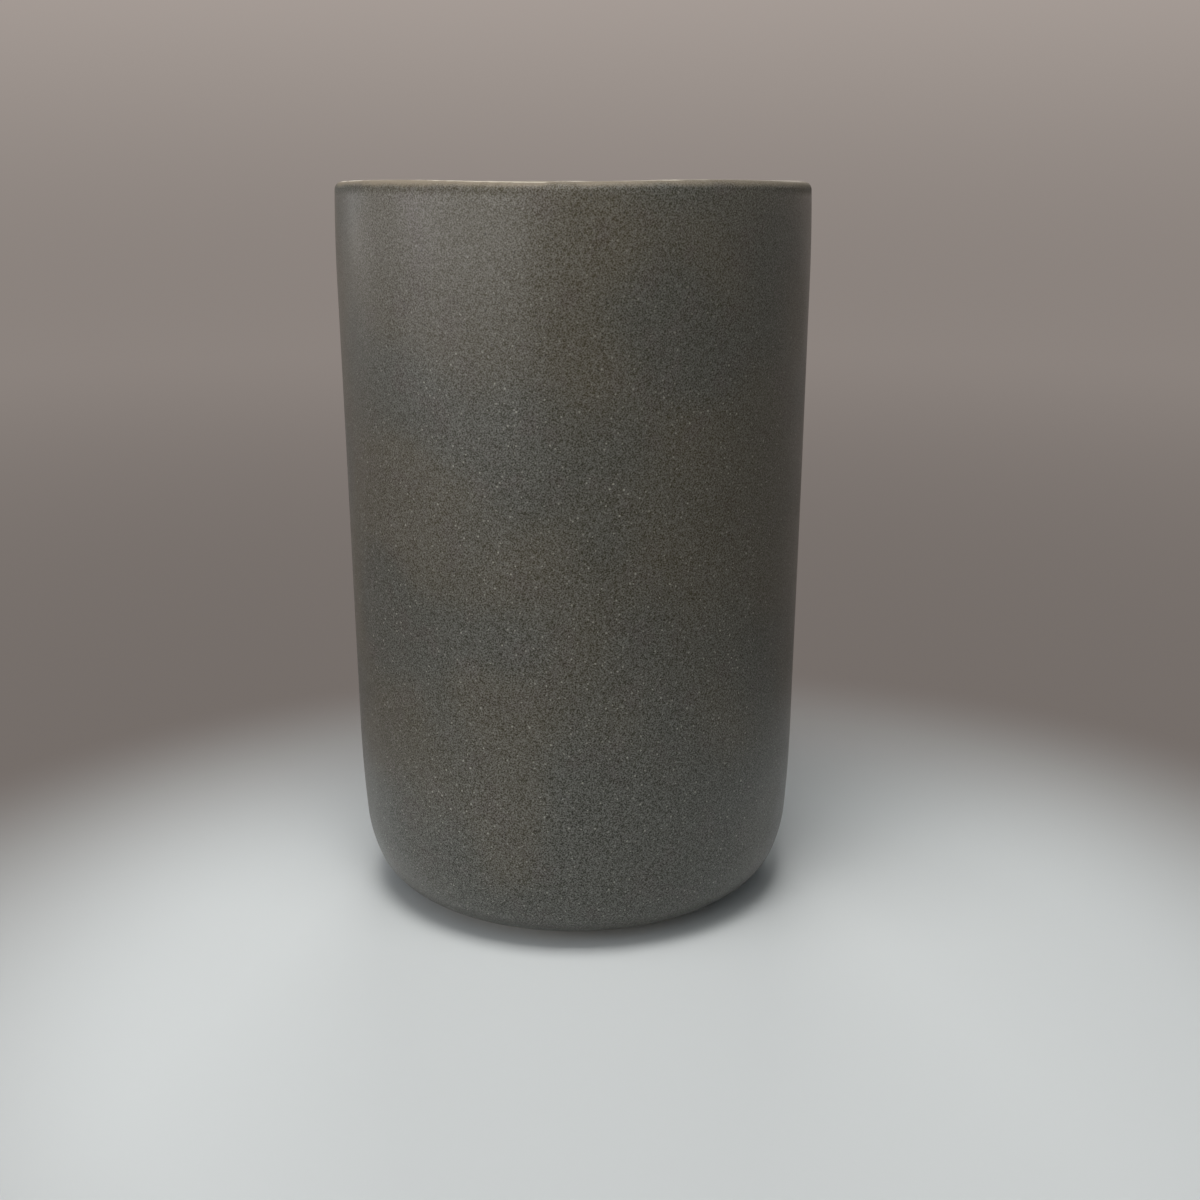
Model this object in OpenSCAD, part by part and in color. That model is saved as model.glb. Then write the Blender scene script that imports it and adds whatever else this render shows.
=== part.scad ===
/* [Overall] */
// Largest outside diameter, glaze included
rim_d = 72; // [60:0.5:84]
// Height from the ground to the crown of the lip
height = 112; // [80:0.5:140]

/* [Wall] */
// Thickness of the wall, both glaze coats included
wall = 4; // [3.4:0.1:5]
// Height of the drinking floor above the ground
floor_z = 6.2; // [5.4:0.1:8]
// Lean of the straight wall, narrower towards the foot, in degrees
draft = 0.5; // [0.1:0.05:1.5]

/* [Rim] */
// Distance from the crown of the lip down to the widest place
widest_drop = 12.5; // [6:0.5:18]
// Radius of the long curve that draws the rim in
rim_curve_r = 265; // [180:5:400]
// Rounding of the lip's outside edge
lip_outer_r = 1.2; // [0.6:0.1:1.6]
// Rounding of the lip's inside edge
lip_inner_r = 1.6; // [0.6:0.1:1.8]

/* [Heel] */
// Radius of the long bow that leads from the wall into the heel
bow_r = 215; // [120:5:300]
// Steepness at which the bow turns into the heel, in degrees from upright
bow_turn = 4.4; // [3:0.1:6]
// Radius of the heel's upper curve
heel_r = 21; // [14:0.5:26]
// Steepness at which the heel turns into the corner, in degrees from upright
heel_turn = 22; // [14:1:30]
// Radius of the tight corner that runs in under the cup
corner_r = 8.5; // [6:0.5:11]
// Radius of the cove between the inner wall and the drinking floor
cove_r = 11; // [7:0.5:16]

/* [Foot] */
// How far the foot ring stands in from where the heel's underside runs level
foot_setback = 1.4; // [0.4:0.1:4]
// Width of the foot ring
foot_w = 3.2; // [2.4:0.1:5]
// Height of the heel's underside above the ground
foot_h = 1; // [0.6:0.1:1.4]
// Height of the glazed recess inside the foot ring above the ground
recess = 1.8; // [1.5:0.1:2.6]
// Rounding of the foot ring's edges
foot_edge_r = 0.6; // [0.3:0.1:1]

/* [Glaze] */
// Thickness of each glaze coat
glaze_t = 0.35; // [0.2:0.05:0.5]
// Steepness of the corner at which the outer glaze stops, in degrees from upright
glaze_stop = 68; // [60:1:76]

/* [Hidden] */

glaze_color = "#4b4c46";
clay_color = "#b6a48a";

// How far the chords of a drawn curve may lie inside the true curve
facet_gap = glaze_t / 50;
function chord_turn(r) = 2 * acos(1 - facet_gap / r);

// Direction that a surface faces where it leans by turn degrees: 0 is outwards, 90 down, -90 up
function facing(turn) = [cos(turn), -sin(turn)];

// Height that a curve takes between two steepnesses
function rise(r, from, to) = r * (sin(to) - sin(from));

// The outside is one smooth line: the rim's curve, the straight wall, the bow, the heel and the corner
wall_end_z = foot_h + rise(corner_r, heel_turn, 90) + rise(heel_r, bow_turn, heel_turn)
    + rise(bow_r, draft, bow_turn);
rim_c = [rim_d / 2 - rim_curve_r, height - widest_drop];
wall_top = rim_c + rim_curve_r * facing(draft);
wall_end = [wall_top.x - (wall_top.y - wall_end_z) * tan(draft), wall_end_z];
bow_c = wall_end - bow_r * facing(draft);
heel_c = bow_c + (bow_r - heel_r) * facing(bow_turn);
corner_c = heel_c + (heel_r - corner_r) * facing(heel_turn);

// The lip's two edges run on smoothly from the outside and from the inner wall
lip_outer_turn = asin((height - lip_outer_r - rim_c.y) / (rim_curve_r - lip_outer_r));
lip_outer_c = rim_c + (rim_curve_r - lip_outer_r) * facing(-lip_outer_turn);
inner_curve_r = rim_curve_r - wall;
lip_inner_turn = asin((height - lip_inner_r - rim_c.y) / (inner_curve_r + lip_inner_r));
lip_inner_c = rim_c + (inner_curve_r + lip_inner_r) * facing(-lip_inner_turn);
crown_x = (lip_outer_c.x + lip_inner_c.x) / 2;

// The inner wall stands alongside the outside, and the cove turns it into the drinking floor
inner_top = rim_c + inner_curve_r * facing(draft);
cove_z = floor_z + cove_r;
cove_c = [inner_top.x - (inner_top.y - cove_z) * tan(draft) - cove_r / cos(draft), cove_z];

foot_r = corner_c.x - foot_setback;
foot_inner_r = foot_r - foot_w;
clay_base_z = recess + glaze_t;

// The outer glaze ends in a roll that stands on the clay's corner, on a seat as wide as the coat is thick
roll_c = corner_c + (corner_r - glaze_t) * facing(glaze_stop);
seat_turn = 2 * asin(glaze_t / 2 / (corner_r - glaze_t));

// Each curve of the section holds its centre, its radius, the ways that its two ends face, and whether
// the cup's material fills it or lies round it
FULL = 1;
HOLLOW = -1;
FOOT = [
    [[foot_inner_r + foot_edge_r, foot_edge_r], foot_edge_r, 180, 90, FULL],
    [[foot_r - foot_edge_r, foot_edge_r], foot_edge_r, 90, 0, FULL],
];
DRY_CORNER = [corner_c, corner_r, 90, glaze_stop + seat_turn, FULL];
ROLL_SEAT = [corner_c, corner_r, glaze_stop + seat_turn, glaze_stop, FULL];
ROLL = [roll_c, glaze_t, glaze_stop + 90 + seat_turn / 2, glaze_stop, FULL];
OUTSIDE = [
    [corner_c, corner_r, glaze_stop, heel_turn, FULL],
    [heel_c, heel_r, heel_turn, bow_turn, FULL],
    [bow_c, bow_r, bow_turn, draft, FULL],
    [rim_c, rim_curve_r, draft, -lip_outer_turn, FULL],
    [lip_outer_c, lip_outer_r, -lip_outer_turn, -90, FULL],
];
INSIDE = [
    [lip_inner_c, lip_inner_r, -90, -180 - lip_inner_turn, FULL],
    [rim_c, inner_curve_r, -lip_inner_turn, draft, HOLLOW],
    [cove_c, cove_r, draft, 90, HOLLOW],
];

// Points of a curve whose surface has moved into the material by inset
function curve_points(curve, inset) =
    let (
        turn = curve[3] - curve[2],
        chords = ceil(abs(turn) / chord_turn(curve[1]))
    )
    [
        for (i = [0:chords])
            curve[0] + (curve[1] - curve[4] * inset) * facing(curve[2] + turn * i / chords)
    ];

// Points of several curves in a row
function line_of(curves, inset) = [for (curve = curves) each curve_points(curve, inset)];
function reversed(points) = [for (i = [len(points) - 1:-1:0]) points[i]];

// A closed outline, in which an end that two curves share comes once
module outline(points) {
    count = len(points);
    polygon([
        for (i = [0:count - 1])
            if (norm(points[i] - points[(i + count - 1) % count]) > facet_gap) points[i]
    ]);
}

module turned() {
    rotate_extrude($fn = ceil(360 / chord_turn(rim_d / 2))) children();
}

module stoneware_body() {
    color(clay_color) turned() outline(concat(
        [[0, clay_base_z], [foot_inner_r, clay_base_z]],
        line_of(FOOT, 0),
        [[foot_r, foot_h + glaze_t]],
        line_of([DRY_CORNER, ROLL_SEAT, each OUTSIDE, each INSIDE], glaze_t),
        [[0, floor_z - glaze_t]]
    ));
}

module outer_glaze() {
    color(glaze_color) turned() outline(concat(
        line_of([ROLL, each OUTSIDE], 0),
        [[crown_x, height], [crown_x, height - glaze_t]],
        reversed(line_of([ROLL_SEAT, each OUTSIDE], glaze_t))
    ));
}

module liner_glaze() {
    color(glaze_color) turned() outline(concat(
        [[crown_x, height]],
        line_of(INSIDE, 0),
        [[0, floor_z], [0, floor_z - glaze_t]],
        reversed(line_of(INSIDE, glaze_t)),
        [[crown_x, height - glaze_t]]
    ));
}

module base_glaze() {
    color(glaze_color) turned() translate([0, recess]) square([foot_inner_r, glaze_t]);
}

stoneware_body();
outer_glaze();
liner_glaze();
base_glaze();
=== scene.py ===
import math
from types import SimpleNamespace
from typing import NamedTuple

import bmesh
import bpy
from bpy.props import FloatProperty, FloatVectorProperty, IntProperty, PointerProperty
from mathutils import Matrix, Vector, noise


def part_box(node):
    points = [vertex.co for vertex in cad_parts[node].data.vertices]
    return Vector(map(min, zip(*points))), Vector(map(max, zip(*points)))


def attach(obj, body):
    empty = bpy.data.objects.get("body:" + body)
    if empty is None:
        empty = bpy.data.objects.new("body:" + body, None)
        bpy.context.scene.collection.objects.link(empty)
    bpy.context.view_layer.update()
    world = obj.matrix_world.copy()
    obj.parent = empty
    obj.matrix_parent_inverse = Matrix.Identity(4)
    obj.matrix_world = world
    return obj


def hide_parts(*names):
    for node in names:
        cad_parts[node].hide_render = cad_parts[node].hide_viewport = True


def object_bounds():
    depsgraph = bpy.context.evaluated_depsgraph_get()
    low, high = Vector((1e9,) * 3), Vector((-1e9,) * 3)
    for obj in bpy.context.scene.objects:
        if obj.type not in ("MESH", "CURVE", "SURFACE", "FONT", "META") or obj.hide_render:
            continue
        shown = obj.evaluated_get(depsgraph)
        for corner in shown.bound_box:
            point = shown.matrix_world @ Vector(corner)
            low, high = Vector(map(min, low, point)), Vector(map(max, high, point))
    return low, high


bl_info = {
    "name": "Stoneware Tumbler",
    "version": (1, 0, 0),
    "blender": (4, 5, 0),
    "location": "View3D > Sidebar > Tumbler",
    "description": "Models a stoneware tumbler in its coats of glaze and stands it in a small studio",
    "category": "Add Mesh",
}

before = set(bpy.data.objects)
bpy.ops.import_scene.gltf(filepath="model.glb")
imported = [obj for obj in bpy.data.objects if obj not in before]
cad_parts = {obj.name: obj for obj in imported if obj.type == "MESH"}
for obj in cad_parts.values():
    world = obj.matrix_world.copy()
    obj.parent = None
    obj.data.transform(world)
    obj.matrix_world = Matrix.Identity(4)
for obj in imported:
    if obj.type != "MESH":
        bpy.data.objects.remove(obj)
CAD_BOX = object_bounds()
BODY = "root"
OUTER_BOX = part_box("outer_glaze")
LINER_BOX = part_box("liner_glaze")
BASE_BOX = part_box("base_glaze")

MM = 0.001
FULL = 1
HOLLOW = -1
HIDDEN_COARSE = 1.5


def linear(hex_colour):
    """Turns an sRGB hex colour into the linear numbers that shaders and lamps take."""
    channels = [int(hex_colour[i:i + 2], 16) / 255 for i in (1, 3, 5)]
    return [c / 12.92 if c <= 0.04045 else ((c + 0.055) / 1.055) ** 2.4 for c in channels]


def length(name, description, default):
    """A size in metres, with a default in metres."""
    return FloatProperty(
        name=name, description=description, default=default, min=0, precision=5,
        subtype="DISTANCE", unit="LENGTH",
    )


def angle(name, description, degrees):
    """An angle, with its default in degrees."""
    return FloatProperty(
        name=name, description=description, default=math.radians(degrees), subtype="ANGLE", unit="ROTATION",
    )


def colour(name, description, hex_colour):
    """A colour, with its default in sRGB hex."""
    return FloatVectorProperty(
        name=name, description=description, default=linear(hex_colour), size=3, min=0, max=1,
        subtype="COLOR",
    )


class TumblerSizes(bpy.types.PropertyGroup):
    """Sizes of the cup and of its coats of glaze"""

    rim_d: length("Rim diameter", "Largest outside diameter, glaze included", 2 * OUTER_BOX[1].x)
    height: length("Height", "From the ground to the crown of the lip", OUTER_BOX[1].z)
    wall: length("Wall", "Thickness of the wall, both coats included", 4 * MM)
    glaze_t: length("Glaze", "Thickness of each coat of glaze", BASE_BOX[1].z - BASE_BOX[0].z)
    floor_z: length(
        "Drinking floor", "Height of the drinking floor above the ground",
        LINER_BOX[0].z + BASE_BOX[1].z - BASE_BOX[0].z,
    )
    draft: angle("Draft", "Lean of the straight wall", 0.5)
    widest_drop: length("Widest drop", "From the crown of the lip down to the widest place", 12.5 * MM)
    rim_curve_r: length("Rim curve", "Radius of the long curve that draws the rim in", 265 * MM)
    lip_outer_r: length("Lip outside", "Rounding of the lip's outside edge", 1.2 * MM)
    lip_inner_r: length("Lip inside", "Rounding of the lip's inside edge", 1.6 * MM)
    bow_r: length("Bow", "Radius of the long bow from the wall into the heel", 215 * MM)
    bow_turn: angle("Bow turn", "Steepness at which the bow turns into the heel", 4.4)
    heel_r: length("Heel", "Radius of the heel's upper curve", 21 * MM)
    heel_turn: angle("Heel turn", "Steepness at which the heel turns into the corner", 22)
    corner_r: length("Corner", "Radius of the tight corner that runs in under the cup", 8.5 * MM)
    cove_r: length("Cove", "Radius between the inner wall and the drinking floor", 11 * MM)
    glaze_stop: angle("Glaze stop", "Steepness of the corner at which the outer coat stops", 68)
    foot_inner_r: length("Foot inside", "Inner radius of the foot ring", BASE_BOX[1].x)
    foot_w: length("Foot width", "Width of the foot ring", 3.2 * MM)
    foot_h: length("Foot height", "Height of the heel's underside above the ground", 1 * MM)
    foot_edge_r: length("Foot edges", "Rounding of the foot ring's edges", 0.6 * MM)
    recess: length("Recess", "Height of the glazed recess inside the foot ring", BASE_BOX[0].z)
    rim_wave: length("Rim wave", "How far the lip waves up and down", 0.16 * MM)
    wall_wave: length("Wall wave", "How far the wall swells and dips", 0.07 * MM)
    line_wave: angle("Glaze line wave", "How far the outer coat's lower edge wanders on the corner", 2.4)
    smooth_gap: length("Smoothness", "How far a curve's flats may lie inside it", 0.003 * MM)
    longest_flat: length("Longest flat", "Longest flat along the section", 2.5 * MM)
    around: IntProperty(
        name="Around", description="Flats in one turn of the cup", default=336, min=24, max=600,
    )


class TumblerColours(bpy.types.PropertyGroup):
    """Colours of the glaze, the clay and the studio"""

    glaze_warm: colour("Glaze, warm", "Glaze where more iron came through", "#514e45")
    glaze_cool: colour("Glaze, cool", "Glaze where it lies thicker", "#4c4c46")
    glaze_brown: colour("Glaze, brown", "Faint brown clouds in the glaze", "#4f4845")
    pale_speck: colour("Pale specks", "Crystals that stand out of the matt glaze", "#96958c")
    dark_speck: colour("Dark specks", "Iron specks in the glaze", "#1d1c1a")
    break_tan: colour("Break, tan", "Thin glaze over the clay just under the lip's crown", "#7c7365")
    # Cream of the thinnest glaze on the lip's crown, with a painted highlight in it.
    crown_cream_and_highlight: colour("Break, cream", "Thinnest glaze, on the lip's crown", "#c8c3b5")
    clay: colour("Clay", "Bare fired stoneware", "#b6a48a")
    clay_iron: colour("Clay, iron", "Iron specks, grog and faint clouds in the clay", "#7c5c40")
    floor: colour("Studio floor", "Floor that the tumbler stands on", "#dde4e8")
    backdrop: colour("Studio backdrop", "Backdrop that shows beyond the pale floor", "#857d78")


def facing(turn):
    """Direction that a surface faces where it leans by turn: 0 is outwards, a quarter turn down."""
    return Vector((math.cos(turn), 0, -math.sin(turn)))


def rise(r, start, end):
    """Height that a curve takes between two steepnesses."""
    return r * (math.sin(end) - math.sin(start))


class Curve(NamedTuple):
    """A round stretch of the section.

    It holds its centre, its radius, the ways that its two ends face, and whether the cup's material fills it
    or lies round it.
    """

    centre: Vector
    radius: float
    start: float
    end: float
    side: int

    def moved_in(self, inset):
        """The same stretch where the surface has moved into the material."""
        return self._replace(radius=self.radius - self.side * inset)

    def reversed(self):
        """The same stretch, drawn from its other end."""
        return self._replace(start=self.end, end=self.start)

    def point(self, turn):
        """The point of the curve's circle that faces that way."""
        return self.centre + self.radius * facing(turn)


def cup_section(s):
    """The curves of the cup's half section, each tangent to the next, from the same sizes as the solids."""
    quarter = math.pi / 2
    wall_end_z = (
        s.foot_h + rise(s.corner_r, s.heel_turn, quarter) + rise(s.heel_r, s.bow_turn, s.heel_turn)
        + rise(s.bow_r, s.draft, s.bow_turn)
    )
    rim_c = Vector((s.rim_d / 2 - s.rim_curve_r, 0, s.height - s.widest_drop))
    wall_top = rim_c + s.rim_curve_r * facing(s.draft)
    wall_end = Vector((wall_top.x - (wall_top.z - wall_end_z) * math.tan(s.draft), 0, wall_end_z))
    bow_c = wall_end - s.bow_r * facing(s.draft)
    heel_c = bow_c + (s.bow_r - s.heel_r) * facing(s.bow_turn)
    corner_c = heel_c + (s.heel_r - s.corner_r) * facing(s.heel_turn)

    lip_outer_turn = math.asin((s.height - s.lip_outer_r - rim_c.z) / (s.rim_curve_r - s.lip_outer_r))
    lip_outer_c = rim_c + (s.rim_curve_r - s.lip_outer_r) * facing(-lip_outer_turn)
    inner_curve_r = s.rim_curve_r - s.wall
    lip_inner_turn = math.asin((s.height - s.lip_inner_r - rim_c.z) / (inner_curve_r + s.lip_inner_r))
    lip_inner_c = rim_c + (inner_curve_r + s.lip_inner_r) * facing(-lip_inner_turn)

    inner_top = rim_c + inner_curve_r * facing(s.draft)
    cove_z = s.floor_z + s.cove_r
    cove_x = inner_top.x - (inner_top.z - cove_z) * math.tan(s.draft) - s.cove_r / math.cos(s.draft)

    seat_turn = 2 * math.asin(s.glaze_t / 2 / (s.corner_r - s.glaze_t))
    roll_c = corner_c + (s.corner_r - s.glaze_t) * facing(s.glaze_stop)
    foot_r = s.foot_inner_r + s.foot_w
    foot_inner_c = Vector((s.foot_inner_r + s.foot_edge_r, 0, s.foot_edge_r))
    foot_outer_c = Vector((foot_r - s.foot_edge_r, 0, s.foot_edge_r))
    return SimpleNamespace(
        corner_c=corner_c,
        crown=Vector(((lip_outer_c.x + lip_inner_c.x) / 2, 0, s.height)),
        foot_r=foot_r,
        foot=[
            Curve(foot_inner_c, s.foot_edge_r, math.pi, quarter, FULL),
            Curve(foot_outer_c, s.foot_edge_r, quarter, 0, FULL),
        ],
        dry_corner=Curve(corner_c, s.corner_r, quarter, s.glaze_stop + seat_turn, FULL),
        roll_seat=Curve(corner_c, s.corner_r, s.glaze_stop + seat_turn, s.glaze_stop, FULL),
        roll=Curve(roll_c, s.glaze_t, s.glaze_stop + quarter + seat_turn / 2, s.glaze_stop, FULL),
        outside=[
            Curve(corner_c, s.corner_r, s.glaze_stop, s.heel_turn, FULL),
            Curve(heel_c, s.heel_r, s.heel_turn, s.bow_turn, FULL),
            Curve(bow_c, s.bow_r, s.bow_turn, s.draft, FULL),
            Curve(rim_c, s.rim_curve_r, s.draft, -lip_outer_turn, FULL),
            Curve(lip_outer_c, s.lip_outer_r, -lip_outer_turn, -quarter, FULL),
        ],
        inside=[
            Curve(lip_inner_c, s.lip_inner_r, -quarter, -math.pi - lip_inner_turn, FULL),
            Curve(rim_c, inner_curve_r, -lip_inner_turn, s.draft, HOLLOW),
            Curve(Vector((cove_x, 0, cove_z)), s.cove_r, s.draft, quarter, HOLLOW),
        ],
    )


def draw_line(bm, tip, end, longest):
    """Runs a straight line of flats on from the vertex tip, and returns its last vertex."""
    way = Vector(end) - tip.co
    flats = math.ceil(way.length / longest)
    for _ in range(flats):
        tip = bmesh.ops.extrude_vert_indiv(bm, verts=[tip])["verts"][0]
        bmesh.ops.translate(bm, verts=[tip], vec=way / flats)
    return tip


def draw_curves(bm, tip, curves, s, coarse=1):
    """Runs round curves on from the vertex tip, with a line wherever the next one starts further on.

    On hidden faces, coarse makes the flats that many times as rough.
    """
    for curve in curves:
        start = curve.point(curve.start)
        if (start - tip.co).length > s.smooth_gap:
            tip = draw_line(bm, tip, start, s.longest_flat * coarse)
        turn = curve.end - curve.start
        flat_turn = min(
            2 * math.acos(1 - s.smooth_gap * coarse / curve.radius),
            s.longest_flat * coarse / curve.radius,
        )
        spun = bmesh.ops.spin(
            bm, geom=[tip], cent=curve.centre, axis=(0, 1, 0), angle=turn,
            steps=math.ceil(abs(turn) / flat_turn), use_duplicate=False,
        )
        tip = next(v for v in spun["geom_last"] if isinstance(v, bmesh.types.BMVert))
    return tip


def turn_on_wheel(bm, s):
    """Spins the drawn section round the cup's axis into a closed skin whose faces point outwards."""
    bmesh.ops.spin(
        bm, geom=bm.verts[:] + bm.edges[:], cent=(0, 0, 0), axis=(0, 0, 1), angle=2 * math.pi,
        steps=s.around, use_merge=True,
    )
    weld = s.smooth_gap / 10
    bmesh.ops.remove_doubles(bm, verts=bm.verts, dist=weld)
    bmesh.ops.dissolve_degenerate(bm, edges=bm.edges, dist=weld)
    bmesh.ops.recalc_face_normals(bm, faces=bm.faces)


def eased(value, start, end):
    """0 at start and 1 at end, easing in and out between them."""
    share = min(max((value - start) / (end - start), 0), 1)
    return share * share * (3 - 2 * share)


def fire(bm, s):
    """Moves every point to where drying and the kiln left it. The lip waves, and the wall swells a little.

    The clay and the coats on its wall take the same moves, so they stay together. The height under the
    crown is kept first, in millimetres, for the glaze that breaks over the lip.
    """
    below_crown = bm.verts.layers.float.new("below_crown")
    waves_in_turn = (4, 5)
    wave_starts = s.height - 30 * MM
    wave_peak = math.radians(33)
    swell_length = 45 * MM
    for vert in bm.verts:
        x, y, z = vert.co
        vert[below_crown] = (s.height - z) / MM
        around = math.atan2(x, -y) - wave_peak
        wave = sum(math.cos(count * around) for count in waves_in_turn) / len(waves_in_turn)
        vert.co.z += s.rim_wave * wave * eased(z, wave_starts, s.height)
        swelling = s.wall_wave * noise.noise(vert.co / swell_length) * eased(z, 0, 2 * s.corner_r)
        vert.co.xy *= 1 + 2 * swelling / s.rim_d


def let_glaze_line_wander(bm, s, section):
    """Slides the lower edge of the outer coat up and down on the corner, less and less towards the heel."""
    wave_length = 9 * MM
    for vert in bm.verts:
        radius = vert.co.xy.length
        lean = math.atan2(section.corner_c.z - vert.co.z, radius - section.corner_c.x)
        share = eased(lean, s.heel_turn, s.glaze_stop)
        if share == 0:
            continue
        outwards = Vector((vert.co.x, vert.co.y, 0)) / radius
        centre = outwards * section.corner_c.x + Vector((0, 0, section.corner_c.z))
        slide = s.line_wave * share * noise.noise(outwards * section.foot_r / wave_length)
        turned = Matrix.Rotation(slide, 3, outwards.cross(Vector((0, 0, 1))))
        vert.co = centre + turned @ (vert.co - centre)


def make_piece(context, name, bm, material):
    """Puts a bmesh into the scene as a smooth object, in place of an older one of that name."""
    old = bpy.data.objects.get(name)
    if old:
        bpy.data.objects.remove(old)
    mesh = bpy.data.meshes.new(name)
    bm.to_mesh(mesh)
    bm.free()
    mesh.materials.append(material)
    mesh.shade_smooth()
    mesh.set_sharp_from_angle(angle=math.radians(40))
    piece = bpy.data.objects.new(name, mesh)
    context.scene.collection.objects.link(piece)
    return piece


def new_material(name):
    """An empty node material, and its tree."""
    material = bpy.data.materials.new(name)
    material.use_nodes = True
    material.node_tree.nodes.clear()
    return material, material.node_tree


def add_node(tree, kind, inputs=None, **settings):
    """Adds a node, sets its settings, and gives each input its value or its link.

    An input that is given a node takes that node's first output in use.
    """
    node = tree.nodes.new(kind)
    for name, value in settings.items():
        setattr(node, name, value)
    for socket, value in (inputs or {}).items():
        if isinstance(value, bpy.types.Node):
            value = next(output for output in value.outputs if output.enabled)
        if isinstance(value, bpy.types.NodeSocket):
            tree.links.new(value, node.inputs[socket])
        else:
            node.inputs[socket].default_value = value
    return node


def per(size_mm):
    """Scale of a pattern whose features are that many millimetres apart."""
    return 1 / (size_mm * MM)


def specks(tree, place, spacing_mm, radius_mm, share):
    """A mask of round specks, each with its own size and strength.

    The largest have that radius. About that share of the cells hold one.
    """
    cells = add_node(tree, "ShaderNodeTexVoronoi", {"Vector": place, "Scale": per(spacing_mm)}).outputs
    dice = add_node(tree, "ShaderNodeSeparateColor", {"Color": cells["Color"]}).outputs
    largest = radius_mm / spacing_mm
    size = add_node(tree, "ShaderNodeMapRange", {
        "Value": dice["Green"], "To Min": largest / 2, "To Max": largest,
    })
    reach = add_node(tree, "ShaderNodeMath", {0: cells["Distance"], 1: size}, operation="DIVIDE")
    disc = add_node(tree, "ShaderNodeMapRange", {
        "Value": reach, "From Min": 1, "From Max": 0.4,
    }, interpolation_type="SMOOTHSTEP")
    strength = add_node(tree, "ShaderNodeMapRange", {"Value": dice["Blue"], "To Min": 0.3})
    there = add_node(tree, "ShaderNodeMath", {0: dice["Red"], 1: share}, operation="LESS_THAN")
    speck = add_node(tree, "ShaderNodeMath", {0: disc, 1: strength}, operation="MULTIPLY")
    return add_node(tree, "ShaderNodeMath", {0: speck, 1: there}, operation="MULTIPLY")


def rgba(colour_value):
    """A linear colour as a shader's socket takes it, with nothing seen through it."""
    return [*colour_value, 1]


def glaze_pattern(tree, place, c, lip_z):
    """Colour and height of the speckled matt glaze.

    A pebbly grain of crystals 0.2 mm apart covers it, about as fine as a render's pixel, and shows more
    towards the foot. Over it lie paler crystals and iron specks up to 0.45 mm across. The paler ones grow
    where the glaze ran thicker, below the lip. Faint olive, brown and grey-green clouds, up to some
    centimetres wide, drift through its ground.
    """
    level = add_node(tree, "ShaderNodeSeparateXYZ", {"Vector": place}).outputs["Z"]
    turned = add_node(tree, "ShaderNodeMapping", {"Vector": place, "Rotation": (0.5, 0.9, 0.3)})
    shifted = add_node(tree, "ShaderNodeMapping", {"Vector": place, "Location": (0.3, 0.1, 0.2)})

    drift = add_node(tree, "ShaderNodeTexNoise", {"Vector": turned, "Scale": per(24), "Detail": 1})
    warmth = add_node(tree, "ShaderNodeMapRange", {
        "Value": drift, "From Min": 0.4, "From Max": 0.6,
    }, interpolation_type="SMOOTHSTEP")
    ground = add_node(tree, "ShaderNodeMix", {
        "Factor": warmth, "A": rgba(c.glaze_cool), "B": rgba(c.glaze_warm),
    }, data_type="RGBA")
    cloud = add_node(tree, "ShaderNodeTexNoise", {"Vector": turned, "Scale": per(5), "Roughness": 0.6})
    brown = add_node(tree, "ShaderNodeMapRange", {
        "Value": cloud, "From Min": 0.5, "From Max": 0.7, "To Max": 0.28,
    }, interpolation_type="SMOOTHSTEP")
    ground = add_node(tree, "ShaderNodeMix", {
        "Factor": brown, "A": ground, "B": rgba(c.glaze_brown),
    }, data_type="RGBA")

    grain = add_node(tree, "ShaderNodeTexNoise", {"Vector": turned, "Scale": per(0.2), "Detail": 0})
    shade = add_node(tree, "ShaderNodeMapRange", {
        "Value": grain, "From Min": 0.25, "From Max": 0.75, "To Min": -1, "To Max": 1,
    })
    contrast = add_node(tree, "ShaderNodeMapRange", {
        "Value": level, "From Min": 0, "From Max": lip_z, "To Min": 0.071, "To Max": 0.054,
    }, interpolation_type="SMOOTHSTEP")
    shade = add_node(tree, "ShaderNodeMath", {0: shade, 1: contrast}, operation="MULTIPLY")
    ground = add_node(tree, "ShaderNodeVectorMath", {0: ground, 1: shade}, operation="ADD")

    grown = add_node(tree, "ShaderNodeMapRange", {
        "Value": level, "From Min": lip_z, "From Max": lip_z - 45 * MM, "To Min": 0.35,
    }, interpolation_type="SMOOTHSTEP")
    pale = specks(tree, turned, 0.75, 0.22, 0.6)
    pale = add_node(tree, "ShaderNodeMath", {0: pale, 1: grown}, operation="MULTIPLY")
    ground = add_node(tree, "ShaderNodeMix", {
        "Factor": pale, "A": ground, "B": rgba(c.pale_speck),
    }, data_type="RGBA")
    dark = specks(tree, shifted, 0.55, 0.17, 0.5)
    ground = add_node(tree, "ShaderNodeMix", {
        "Factor": dark, "A": ground, "B": rgba(c.dark_speck),
    }, data_type="RGBA")

    pebbles = add_node(tree, "ShaderNodeMath", {0: grain, 1: 0.5}, operation="MULTIPLY")
    crystals = add_node(tree, "ShaderNodeMath", {0: pale, 1: 0.35}, operation="MULTIPLY")
    height = add_node(tree, "ShaderNodeMath", {0: pebbles, 1: crystals}, operation="ADD")
    return ground, height


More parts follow.
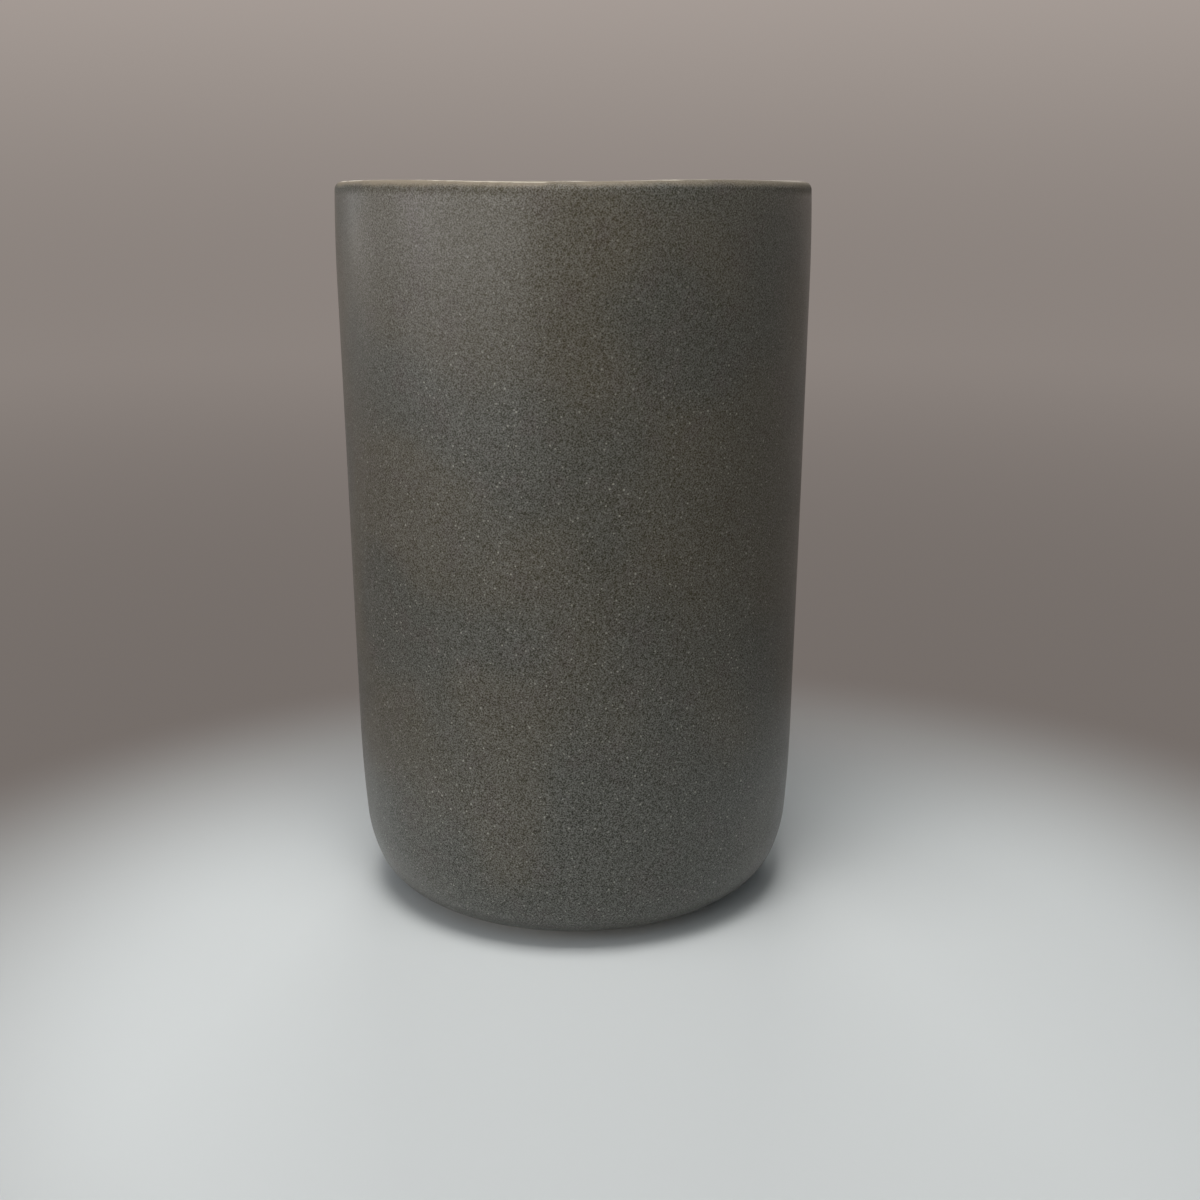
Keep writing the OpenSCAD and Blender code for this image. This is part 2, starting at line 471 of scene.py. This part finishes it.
def lip_break_and_painted_light(tree, place, c, ground, lip_z):
    """Lets the glaze break over the lip, where it ran thin. Returns its colour, and how dry it is.

    A cream line comes and goes along the crown, over a tan band that is widest where the lip stands highest.
    The cream line is partly thin glaze and partly a painted highlight. Tan and cream are both painted
    stronger towards -X, the lit side, and fade towards +X, the side away from the lamps. Reaches are
    millimetres below the lip.
    """
    below_crown = add_node(tree, "ShaderNodeAttribute", attribute_name="below_crown").outputs["Fac"]
    spot = add_node(tree, "ShaderNodeSeparateXYZ", {"Vector": place}).outputs
    uneven = add_node(tree, "ShaderNodeTexNoise", {
        "Vector": place, "Scale": per(5), "Detail": 3, "Roughness": 0.6,
    })

    below_lip = add_node(tree, "ShaderNodeMath", {0: lip_z, 1: spot["Z"]}, operation="SUBTRACT")
    below_lip = add_node(tree, "ShaderNodeMath", {0: below_lip, 1: 1 / MM}, operation="MULTIPLY")
    ragged = add_node(tree, "ShaderNodeMapRange", {
        "Value": uneven, "From Min": 0.3, "From Max": 0.7, "To Min": -0.2, "To Max": 0.2,
    }, interpolation_type="SMOOTHSTEP")
    reach = add_node(tree, "ShaderNodeMath", {0: below_lip, 1: ragged}, operation="ADD")
    tan = add_node(tree, "ShaderNodeMapRange", {
        "Value": reach, "From Min": 1.1, "From Max": 0.2,
    }, interpolation_type="SMOOTHSTEP")
    # Painted light: the tan band is painted stronger towards -X, the lit side, and weaker towards +X.
    tan_painted_lit_side = add_node(tree, "ShaderNodeMapRange", {
        "Value": spot["X"], "From Min": 20 * MM, "From Max": 0, "To Min": 0.5, "To Max": 0.85,
    }, interpolation_type="SMOOTHSTEP")
    tan = add_node(tree, "ShaderNodeMath", {0: tan, 1: tan_painted_lit_side}, operation="MULTIPLY")
    ground = add_node(tree, "ShaderNodeMix", {
        "Factor": tan, "A": ground, "B": rgba(c.break_tan),
    }, data_type="RGBA")

    # Painted highlight: the cream line on the crown is partly thin glaze and partly a painted highlight,
    # coming and going in patches.
    ragged = add_node(tree, "ShaderNodeMapRange", {
        "Value": uneven, "From Min": 0.4, "From Max": 0.65, "To Min": -0.04, "To Max": 0.12,
    }, interpolation_type="SMOOTHSTEP")
    reach = add_node(tree, "ShaderNodeMath", {0: below_crown, 1: ragged}, operation="ADD")
    cream = add_node(tree, "ShaderNodeMapRange", {
        "Value": reach, "From Min": 0.14, "From Max": 0, "To Max": 0.9,
    }, interpolation_type="SMOOTHSTEP")
    patches = add_node(tree, "ShaderNodeTexNoise", {"Vector": place, "Scale": per(9), "Detail": 1})
    cream_comes_and_goes = add_node(tree, "ShaderNodeMapRange", {
        "Value": patches, "From Min": 0.4, "From Max": 0.6,
    }, interpolation_type="SMOOTHSTEP")
    cream = add_node(tree, "ShaderNodeMath", {0: cream, 1: cream_comes_and_goes}, operation="MULTIPLY")
    # Painted light: the cream line fades out towards +X, the side away from the lamps.
    cream_painted_lit_side = add_node(tree, "ShaderNodeMapRange", {
        "Value": spot["X"], "From Min": 23 * MM, "From Max": 13 * MM,
    }, interpolation_type="SMOOTHSTEP")
    cream = add_node(tree, "ShaderNodeMath", {0: cream, 1: cream_painted_lit_side}, operation="MULTIPLY")
    ground = add_node(tree, "ShaderNodeMix", {
        "Factor": cream, "A": ground, "B": rgba(c.crown_cream_and_highlight),
    }, data_type="RGBA")

    dry = add_node(tree, "ShaderNodeMapRange", {
        "Value": below_crown, "From Min": 2.2, "From Max": 0.8,
    }, interpolation_type="SMOOTHSTEP")
    return ground, dry


def finish_glaze(tree, ground, height, place, roughness, dry):
    """The glaze's skin: a low, wide sheen, roughened by its crystals. Dry glaze has next to none."""
    crystal_height = 0.01 * MM
    uneven = 0.04
    dulled = 0.35
    bump = add_node(tree, "ShaderNodeBump", {"Height": height, "Strength": 1, "Distance": crystal_height})
    worn = add_node(tree, "ShaderNodeTexNoise", {"Vector": place, "Scale": per(12)})
    worn = add_node(tree, "ShaderNodeMapRange", {
        "Value": worn, "From Min": 0.3, "From Max": 0.7,
        "To Min": roughness - uneven, "To Max": roughness + uneven,
    }, interpolation_type="SMOOTHSTEP")
    dull = add_node(tree, "ShaderNodeMath", {0: dry, 1: dulled}, operation="MULTIPLY")
    dull = add_node(tree, "ShaderNodeMath", {0: worn, 1: dull}, operation="ADD")
    shader = add_node(tree, "ShaderNodeBsdfPrincipled", {
        "Base Color": ground, "Roughness": dull, "IOR": 1.5, "Normal": bump,
    })
    add_node(tree, "ShaderNodeOutputMaterial", {"Surface": shader})


def matt_glaze(name, c, roughness, lip_z, breaks=True):
    """Matt crystalline stoneware glaze, sprayed on and fired.

    To the eye it is dark grey-green and finely speckled, with a soft sheen that has no edge, because tiny
    crystals cover its surface.
    """
    material, tree = new_material(name)
    place = add_node(tree, "ShaderNodeTexCoord").outputs["Object"]
    ground, height = glaze_pattern(tree, place, c, lip_z)
    dry = 0
    if breaks:
        ground, dry = lip_break_and_painted_light(tree, place, c, ground, lip_z)
    finish_glaze(tree, ground, height, place, roughness, dry)
    return material


def sponged_stoneware(c):
    """Iron-bearing stoneware clay, sponged and fired without glaze.

    To the eye it is dry and tan, pitted by fine grog, with brown iron specks that give the bare foot its
    grain.
    """
    material, tree = new_material("sponged_stoneware")
    place = add_node(tree, "ShaderNodeTexCoord").outputs["Object"]

    cloud = add_node(tree, "ShaderNodeTexNoise", {"Vector": place, "Scale": per(6), "Detail": 3})
    cloud = add_node(tree, "ShaderNodeMapRange", {
        "Value": cloud, "From Min": 0.35, "From Max": 0.65, "To Max": 0.25,
    }, interpolation_type="SMOOTHSTEP")
    ground = add_node(tree, "ShaderNodeMix", {
        "Factor": cloud, "A": rgba(c.clay), "B": rgba(c.clay_iron),
    }, data_type="RGBA")
    grog = add_node(tree, "ShaderNodeTexNoise", {"Vector": place, "Scale": per(0.4), "Roughness": 0.6})
    grains = add_node(tree, "ShaderNodeMapRange", {
        "Value": grog, "From Min": 0.35, "From Max": 0.75, "To Max": 0.3,
    }, interpolation_type="SMOOTHSTEP")
    ground = add_node(tree, "ShaderNodeMix", {
        "Factor": grains, "A": ground, "B": rgba(c.clay_iron),
    }, data_type="RGBA")
    iron = specks(tree, place, 1.1, 0.22, 0.35)
    iron = add_node(tree, "ShaderNodeMath", {0: iron, 1: 0.8}, operation="MULTIPLY")
    ground = add_node(tree, "ShaderNodeMix", {
        "Factor": iron, "A": ground, "B": rgba(c.clay_iron),
    }, data_type="RGBA")

    pit_depth = 0.06 * MM
    bump = add_node(tree, "ShaderNodeBump", {"Height": grog, "Strength": 1, "Distance": pit_depth})
    dull = add_node(tree, "ShaderNodeMapRange", {
        "Value": grog, "From Min": 0.3, "From Max": 0.7, "To Min": 0.82, "To Max": 0.95,
    }, interpolation_type="SMOOTHSTEP")
    shader = add_node(tree, "ShaderNodeBsdfPrincipled", {
        "Base Color": ground, "Roughness": dull, "IOR": 1.5, "Normal": bump,
    })
    add_node(tree, "ShaderNodeOutputMaterial", {"Surface": shader})
    return material


def studio_paper(c, centre, near, far):
    """Matt studio paper: a pale floor that takes the tumbler's shadow within near of the centre.

    Beyond far, the camera and the glaze's gloss see a glowing backdrop on it instead. It carries painted
    shade that makes it darkest close by, and painted light that makes it paler further out and up, while the
    light that the paper sends back stays a pale floor's.
    """
    material, tree = new_material("studio_paper")
    place = add_node(tree, "ShaderNodeTexCoord").outputs["Object"]
    away = add_node(tree, "ShaderNodeVectorMath", {0: place, 1: centre}, operation="DISTANCE")
    beyond = add_node(tree, "ShaderNodeMapRange", {
        "Value": away, "From Min": near, "From Max": far,
    }, interpolation_type="SMOOTHSTEP")
    rays = add_node(tree, "ShaderNodeLightPath").outputs
    seen = add_node(tree, "ShaderNodeMath", {
        0: rays["Is Camera Ray"], 1: rays["Is Glossy Ray"],
    }, operation="MAXIMUM")
    share = add_node(tree, "ShaderNodeMath", {0: beyond, 1: seen}, operation="MULTIPLY")

    paper = add_node(tree, "ShaderNodeBsdfPrincipled", {
        "Base Color": rgba(c.floor), "Roughness": 0.9, "Specular IOR Level": 0.2,
    })
    # Painted shade and light on the glowing backdrop: darker close by, paler further out and up.
    painted_shade_close_by = add_node(tree, "ShaderNodeMapRange", {
        "Value": away, "From Min": 0.1, "From Max": 0.9, "To Min": 0.75, "To Max": 1.1,
    }, interpolation_type="SMOOTHSTEP")
    level = add_node(tree, "ShaderNodeSeparateXYZ", {"Vector": place}).outputs["Z"]
    painted_light_up = add_node(tree, "ShaderNodeMapRange", {
        "Value": level, "From Min": 0, "From Max": 0.5, "To Min": 1, "To Max": 1.7,
    }, interpolation_type="SMOOTHSTEP")
    lit = add_node(tree, "ShaderNodeMath", {0: painted_shade_close_by, 1: painted_light_up}, operation="MULTIPLY")
    backdrop = add_node(tree, "ShaderNodeEmission", {"Color": rgba(c.backdrop), "Strength": lit})
    surface = add_node(tree, "ShaderNodeMixShader", {0: share, 1: paper, 2: backdrop})
    add_node(tree, "ShaderNodeOutputMaterial", {"Surface": surface})
    return material


class TUMBLER_OT_clay(bpy.types.Operator):
    """Model the fired clay cup with its foot ring"""

    bl_idname = "tumbler.clay"
    bl_label = "Clay Cup"
    bl_options = {"REGISTER", "UNDO"}

    def execute(self, context):
        s = context.scene.tumbler_sizes
        section = cup_section(s)
        glazed = [section.dry_corner, section.roll_seat, *section.outside, *section.inside]
        under_coat = [curve.moved_in(s.glaze_t) for curve in glazed]
        base_z = s.recess + s.glaze_t
        bm = bmesh.new()
        tip = bm.verts.new((0, 0, base_z))
        tip = draw_line(bm, tip, (s.foot_inner_r, 0, base_z), s.longest_flat)
        tip = draw_curves(bm, tip, section.foot, s)
        tip = draw_line(bm, tip, (section.foot_r, 0, s.foot_h + s.glaze_t), s.longest_flat)
        tip = draw_curves(bm, tip, under_coat, s, coarse=HIDDEN_COARSE)
        draw_line(bm, tip, (0, 0, s.floor_z - s.glaze_t), s.longest_flat)
        turn_on_wheel(bm, s)
        fire(bm, s)
        piece = make_piece(context, "clay_cup", bm, sponged_stoneware(context.scene.tumbler_colours))
        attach(piece, BODY)
        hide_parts("stoneware_body")
        return {"FINISHED"}


class TUMBLER_OT_outer_coat(bpy.types.Operator):
    """Model the matt glaze outside, from its rolled lower edge to the crown of the lip"""

    bl_idname = "tumbler.outer_coat"
    bl_label = "Outer Coat"
    bl_options = {"REGISTER", "UNDO"}

    def execute(self, context):
        s = context.scene.tumbler_sizes
        section = cup_section(s)
        clay_side = [curve.moved_in(s.glaze_t).reversed() for curve in [section.roll_seat, *section.outside]]
        bm = bmesh.new()
        tip = bm.verts.new(section.roll.point(section.roll.start))
        tip = draw_curves(bm, tip, [section.roll, *section.outside], s)
        tip = draw_line(bm, tip, section.crown, s.longest_flat)
        tip = draw_line(bm, tip, section.crown - Vector((0, 0, s.glaze_t)), s.longest_flat)
        draw_curves(bm, tip, reversed(clay_side), s, coarse=HIDDEN_COARSE)
        turn_on_wheel(bm, s)
        let_glaze_line_wander(bm, s, section)
        fire(bm, s)
        colours = context.scene.tumbler_colours
        material = matt_glaze("matt_crystal_glaze", colours, roughness=0.36, lip_z=s.height + s.rim_wave)
        piece = make_piece(context, "outer_coat", bm, material)
        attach(piece, BODY)
        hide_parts("outer_glaze")
        return {"FINISHED"}


class TUMBLER_OT_liner_coat(bpy.types.Operator):
    """Model the satin glaze inside, from the crown of the lip over the cove to the drinking floor"""

    bl_idname = "tumbler.liner_coat"
    bl_label = "Liner Coat"
    bl_options = {"REGISTER", "UNDO"}

    def execute(self, context):
        s = context.scene.tumbler_sizes
        section = cup_section(s)
        clay_side = [curve.moved_in(s.glaze_t).reversed() for curve in section.inside]
        bm = bmesh.new()
        tip = bm.verts.new(section.crown)
        tip = draw_curves(bm, tip, section.inside, s)
        draw_line(bm, tip, (0, 0, s.floor_z), s.longest_flat)
        tip = bm.verts.new((0, 0, s.floor_z - s.glaze_t))
        tip = draw_curves(bm, tip, reversed(clay_side), s, coarse=HIDDEN_COARSE)
        tip = draw_line(bm, tip, section.crown - Vector((0, 0, s.glaze_t)), s.longest_flat)
        draw_line(bm, tip, section.crown, s.longest_flat)
        turn_on_wheel(bm, s)
        fire(bm, s)
        colours = context.scene.tumbler_colours
        material = matt_glaze("satin_crystal_glaze", colours, roughness=0.3, lip_z=s.height + s.rim_wave)
        piece = make_piece(context, "liner_coat", bm, material)
        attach(piece, BODY)
        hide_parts("liner_glaze")
        return {"FINISHED"}


class TUMBLER_OT_base_coat(bpy.types.Operator):
    """Model the glaze in the recess under the cup, drawn up where it meets the foot ring"""

    bl_idname = "tumbler.base_coat"
    bl_label = "Base Coat"
    bl_options = {"REGISTER", "UNDO"}

    def execute(self, context):
        s = context.scene.tumbler_sizes
        meniscus_r = 0.5 * MM
        corner = Vector((s.foot_inner_r - meniscus_r, 0, s.recess - meniscus_r))
        meniscus = Curve(corner, meniscus_r, -math.pi / 2, 0, HOLLOW)
        bm = bmesh.new()
        tip = bm.verts.new((0, 0, s.recess))
        tip = draw_curves(bm, tip, [meniscus], s)
        tip = draw_line(bm, tip, (s.foot_inner_r, 0, s.recess + s.glaze_t), s.longest_flat)
        draw_line(bm, tip, (0, 0, s.recess + s.glaze_t), s.longest_flat)
        turn_on_wheel(bm, s)
        colours = context.scene.tumbler_colours
        material = matt_glaze("matt_base_glaze", colours, roughness=0.4, lip_z=s.height, breaks=False)
        piece = make_piece(context, "base_coat", bm, material)
        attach(piece, BODY)
        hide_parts("base_glaze")
        return {"FINISHED"}


def hang_lamp(context, name, azimuth, elevation, distance, size, aim_z, watts, hex_colour):
    """Hangs a soft lamp that faces the tumbler's axis at the height aim_z.

    Azimuth and elevation are in degrees. Azimuth 0 is the camera's side and grows to the right.
    """
    data = bpy.data.lights.new(name, "AREA")
    data.shape = "RECTANGLE"
    data.size, data.size_y = size
    data.energy = watts
    data.color = linear(hex_colour)
    lamp = bpy.data.objects.new(name, data)
    turn = math.radians(azimuth)
    lift = math.radians(elevation)
    out = Vector((math.sin(turn) * math.cos(lift), -math.cos(turn) * math.cos(lift), math.sin(lift)))
    lamp.location = Vector((0, 0, aim_z)) + out * distance
    lamp.rotation_euler = out.to_track_quat("Z", "Y").to_euler()
    lamp.visible_camera = False
    context.scene.collection.objects.link(lamp)


class TUMBLER_OT_stage(bpy.types.Operator):
    """Set up the floor, the backdrop, the lamps and the camera"""

    bl_idname = "tumbler.stage"
    bl_label = "Studio"
    bl_options = {"REGISTER", "UNDO"}

    def execute(self, context):
        scene = context.scene
        self.add_camera(scene)
        self.add_sweep(context)
        self.add_lamps(context)
        world = bpy.data.worlds.new("studio_air")
        world.use_nodes = True
        background = world.node_tree.nodes["Background"]
        background.inputs["Color"].default_value = rgba(linear("#f2f5fa"))
        background.inputs["Strength"].default_value = 0.03
        scene.world = world
        scene.view_settings.view_transform = "Standard"
        return {"FINISHED"}

    def add_lamps(self, context):
        """A small key lamp over the lip, four larger ones from the front and the left, and one behind."""
        lip_z = CAD_BOX[1].z
        waist_z = lip_z / 2
        far_off = 0.8
        warm = "#fffaf4"
        plain = "#fffdfc"
        cool = "#fffbff"
        hang_lamp(context, "key_lamp", -10, 64, 0.22, (0.13, 0.13), lip_z, 0.58, warm)
        hang_lamp(context, "front_lamp", -10, 50, far_off, (0.8, 0.5), waist_z, 1.1, warm)
        hang_lamp(context, "low_front_lamp", -44, 10, far_off, (0.75, 0.35), waist_z, 1.8, plain)
        hang_lamp(context, "side_lamp", -76, 8, far_off, (0.2, 0.25), waist_z, 0.57, cool)
        hang_lamp(context, "edge_lamp", -108, 4.5, far_off, (0.7, 0.16), waist_z, 0.38, plain)
        hang_lamp(context, "back_lamp", 180, 22, far_off, (0.35, 0.35), waist_z, 1.7, warm)

    def add_camera(self, scene):
        """The photograph's view: level with the lip, looking down at the cup from 24 cm."""
        distance = 0.23919
        height = 0.11171
        tilt_down = 0.2675
        turn_right = 0.0166
        data = bpy.data.cameras.new("photo_camera")
        data.lens = 45.66
        data.sensor_width = 36
        data.clip_start = 0.01
        camera = bpy.data.objects.new("photo_camera", data)
        camera.location = (0, -distance, height)
        camera.rotation_euler = (math.pi / 2 - tilt_down, 0, -turn_right)
        scene.collection.objects.link(camera)
        scene.camera = camera

    def add_sweep(self, context):
        """A round floor that curves up into a wall on every side, beyond the lamps and the camera."""
        floor_r = 1.1
        sweep_r = 0.4
        wall_z = 1.3
        fade_centre = (12 * MM, -45 * MM, 0)
        fade_starts = 70 * MM
        fade_ends = 155 * MM
        bm = bmesh.new()
        tip = bm.verts.new((0, 0, 0))
        tip = draw_line(bm, tip, (floor_r, 0, 0), floor_r / 4)
        spun = bmesh.ops.spin(
            bm, geom=[tip], cent=(floor_r, 0, sweep_r), axis=(0, 1, 0), angle=-math.pi / 2,
            steps=16, use_duplicate=False,
        )
        tip = next(v for v in spun["geom_last"] if isinstance(v, bmesh.types.BMVert))
        draw_line(bm, tip, (floor_r + sweep_r, 0, wall_z), wall_z)
        bmesh.ops.spin(
            bm, geom=bm.verts[:] + bm.edges[:], cent=(0, 0, 0), axis=(0, 0, 1), angle=2 * math.pi,
            steps=96, use_merge=True,
        )
        bmesh.ops.remove_doubles(bm, verts=bm.verts, dist=MM)
        mesh = bpy.data.meshes.new("studio_sweep")
        bm.to_mesh(mesh)
        bm.free()
        paper = studio_paper(context.scene.tumbler_colours, fade_centre, fade_starts, fade_ends)
        mesh.materials.append(paper)
        mesh.shade_smooth()
        sweep = bpy.data.objects.new("studio_sweep", mesh)
        context.scene.collection.objects.link(sweep)


OPERATORS = (
    TUMBLER_OT_stage,
    TUMBLER_OT_clay,
    TUMBLER_OT_outer_coat,
    TUMBLER_OT_liner_coat,
    TUMBLER_OT_base_coat,
)


class TUMBLER_PT_panel(bpy.types.Panel):
    """Lists the tumbler's pieces, sizes and colours"""

    bl_idname = "TUMBLER_PT_panel"
    bl_label = "Stoneware Tumbler"
    bl_space_type = "VIEW_3D"
    bl_region_type = "UI"
    bl_category = "Tumbler"

    def draw(self, context):
        for operator in OPERATORS:
            self.layout.operator(operator.bl_idname)
        for group in (context.scene.tumbler_sizes, context.scene.tumbler_colours):
            box = self.layout.box()
            for name in group.__annotations__:
                box.prop(group, name)


CLASSES = (TumblerSizes, TumblerColours, *OPERATORS, TUMBLER_PT_panel)


def register():
    for cls in CLASSES:
        bpy.utils.register_class(cls)
    bpy.types.Scene.tumbler_sizes = PointerProperty(type=TumblerSizes)
    bpy.types.Scene.tumbler_colours = PointerProperty(type=TumblerColours)


def unregister():
    del bpy.types.Scene.tumbler_colours
    del bpy.types.Scene.tumbler_sizes
    for cls in reversed(CLASSES):
        bpy.utils.unregister_class(cls)


def main():
    register()
    bpy.ops.tumbler.stage()
    bpy.ops.tumbler.clay()
    bpy.ops.tumbler.outer_coat()
    bpy.ops.tumbler.liner_coat()
    bpy.ops.tumbler.base_coat()


if __name__ == "__main__":
    main()
